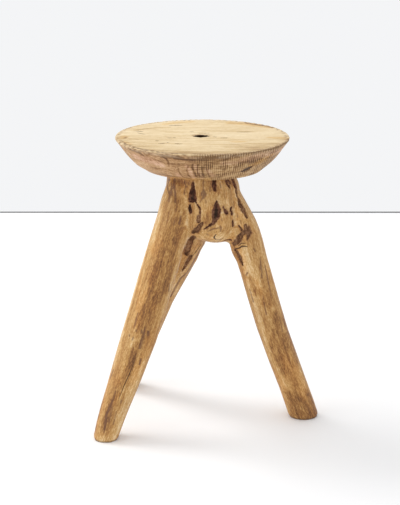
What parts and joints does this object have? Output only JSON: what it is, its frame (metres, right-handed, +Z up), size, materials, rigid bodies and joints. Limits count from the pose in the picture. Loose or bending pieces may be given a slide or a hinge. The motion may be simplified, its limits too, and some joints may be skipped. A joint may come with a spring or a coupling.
{
  "type": "milking stool",
  "caption": "Tripod milking stool: a thick round seat with a bevelled underside, pegged to a natural forked-branch base whose splayed limbs are the legs.",
  "frame": {"origin": "on the floor, in the middle of the stool's bounding box; the seat's axis stands 8.75 mm to -X and 4.75 mm to -Y of it", "axes": "+Z up, the picture's view looks along +Y with +X to the right"},
  "size_m": [0.3575, 0.2796, 0.46],
  "materials": {
    "seat_wood": "bare, scrubbed and worn",
    "base_wood": "bare, hand-polished by use, with bark inclusions",
    "peg_wood": "bare end grain, darkened",
    "wedge_wood": "bare, split"
  },
  "bodies": {
    "root": {"seat": "seat_wood", "tripod_base": "base_wood", "seat_peg": "peg_wood", "top_wedge": "wedge_wood", "blind_wedge": "wedge_wood"}
  },
  "joints": []
}
